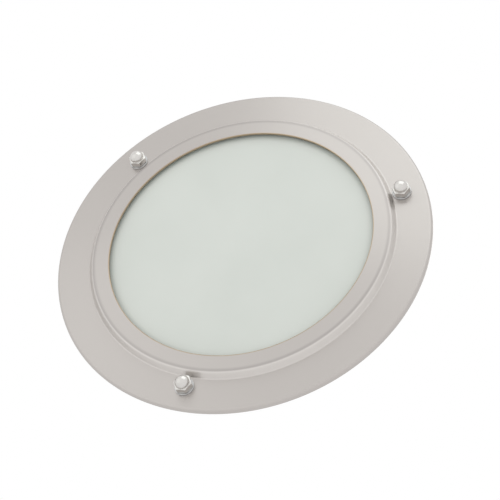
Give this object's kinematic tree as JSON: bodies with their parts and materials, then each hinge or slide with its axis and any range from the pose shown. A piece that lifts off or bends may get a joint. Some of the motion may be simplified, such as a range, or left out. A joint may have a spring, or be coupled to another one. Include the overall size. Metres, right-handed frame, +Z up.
{
  "type": "soffit downlight",
  "caption": "Round recessed soffit downlight with a stepped steel trim ring, cap nuts on studs, a satin glass and a finned can behind.",
  "frame": {"origin": "centre of the recess in the plane of the soffit's face, which the gasket's upper face meets", "axes": "+Z up into the ceiling void, square to the soffit; +X through cap nut a; the light looks down along -Z"},
  "size_m": [0.24, 0.24, 0.0931],
  "materials": {
    "trim_steel": "satin brushed stainless steel",
    "polished_steel": "polished stainless steel",
    "zinc_steel": "zinc plated steel",
    "cast_aluminium": "fine cast texture",
    "satin_glass": "satin etched, faint green",
    "grey_silicone": "matte",
    "black_rubber": "matte",
    "black_nylon": "moulded, fine grain",
    "white_paint": "satin white",
    "white_board": "white solder mask",
    "white_nylon": "moulded",
    "brown_lead": "smooth sheath",
    "blue_lead": "smooth sheath",
    "red_lead": "smooth sheath",
    "black_lead": "smooth sheath",
    "green_lead": "smooth sheath"
  },
  "bodies": {
    "housing": {"housing_can": "cast_aluminium", "soffit_gasket": "black_rubber", "trim_seal": "black_rubber", "stud_a": "zinc_steel", "stud_b": "zinc_steel", "stud_c": "zinc_steel", "reflector": "white_paint", "gear_plate": "zinc_steel", "light_board": "white_board", "driver_case": "white_nylon", "terminal_block": "white_nylon", "plate_screw_a": "zinc_steel", "plate_screw_b": "zinc_steel", "plate_screw_c": "zinc_steel", "board_screw_a": "zinc_steel", "board_screw_b": "zinc_steel", "board_screw_c": "zinc_steel", "reflector_screw_a": "zinc_steel", "reflector_screw_b": "zinc_steel", "reflector_screw_c": "zinc_steel", "driver_screw_a": "zinc_steel", "driver_screw_b": "zinc_steel", "terminal_screw_a": "zinc_steel", "terminal_screw_b": "zinc_steel", "earth_screw": "zinc_steel", "lead_grommet": "black_rubber", "lead_live": "brown_lead", "lead_neutral": "blue_lead", "lead_light_plus": "red_lead", "lead_light_minus": "black_lead", "lead_earth": "green_lead", "gland_body": "black_nylon", "gland_lock_nut": "black_nylon", "gland_washer": "black_rubber"},
    "trim": {"trim_ring": "trim_steel", "glass": "satin_glass", "glass_gasket": "grey_silicone", "glass_clip_a": "zinc_steel", "glass_clip_b": "zinc_steel", "glass_clip_c": "zinc_steel"},
    "washer_a": {"nut_washer_a": "zinc_steel"},
    "nut_a": {"cap_nut_a": "polished_steel"},
    "washer_b": {"nut_washer_b": "zinc_steel"},
    "nut_b": {"cap_nut_b": "polished_steel"},
    "washer_c": {"nut_washer_c": "zinc_steel"},
    "nut_c": {"cap_nut_c": "polished_steel"},
    "seal": {"gland_seal": "black_rubber"},
    "gland_cap": {"gland_cap": "black_nylon"}
  },
  "joints": [
    {"name": "trim_lift", "type": "slide", "parent": "housing", "child": "trim", "axis": [0, 0, -1], "range_m": [0, 0.06]},
    {"name": "nut_a_travel", "type": "slide", "parent": "trim", "child": "washer_a", "axis": [0, 0, -1], "range_m": [0, 0.01]},
    {"name": "nut_a_turn", "type": "hinge", "parent": "washer_a", "child": "nut_a", "pos_m": [0.1048, 0, -0.0135], "axis": [0, 0, -1], "range_deg": [0, 3600]},
    {"name": "nut_b_travel", "type": "slide", "parent": "trim", "child": "washer_b", "axis": [0, 0, -1], "range_m": [0, 0.01]},
    {"name": "nut_b_turn", "type": "hinge", "parent": "washer_b", "child": "nut_b", "pos_m": [-0.0524, 0.09076, -0.0135], "axis": [0, 0, -1], "range_deg": [0, 3600]},
    {"name": "nut_c_travel", "type": "slide", "parent": "trim", "child": "washer_c", "axis": [0, 0, -1], "range_m": [0, 0.01]},
    {"name": "nut_c_turn", "type": "hinge", "parent": "washer_c", "child": "nut_c", "pos_m": [-0.0524, -0.09076, -0.0135], "axis": [0, 0, -1], "range_deg": [0, 3600]},
    {"name": "seal_travel", "type": "slide", "parent": "housing", "child": "seal", "axis": [0, 0, 1], "range_m": [0, 0.009]},
    {"name": "gland_cap_turn", "type": "hinge", "parent": "seal", "child": "gland_cap", "pos_m": [0, -0.052, 0.068], "axis": [0, 0, 1], "range_deg": [0, 2160]}
  ],
  "couplings": [
    {"joint": "nut_a_turn", "follows": "nut_a_travel", "rad_per_m": 6283.2},
    {"joint": "nut_b_turn", "follows": "nut_b_travel", "rad_per_m": 6283.2},
    {"joint": "nut_c_turn", "follows": "nut_c_travel", "rad_per_m": 6283.2},
    {"joint": "gland_cap_turn", "follows": "seal_travel", "rad_per_m": 4188.8}
  ]
}
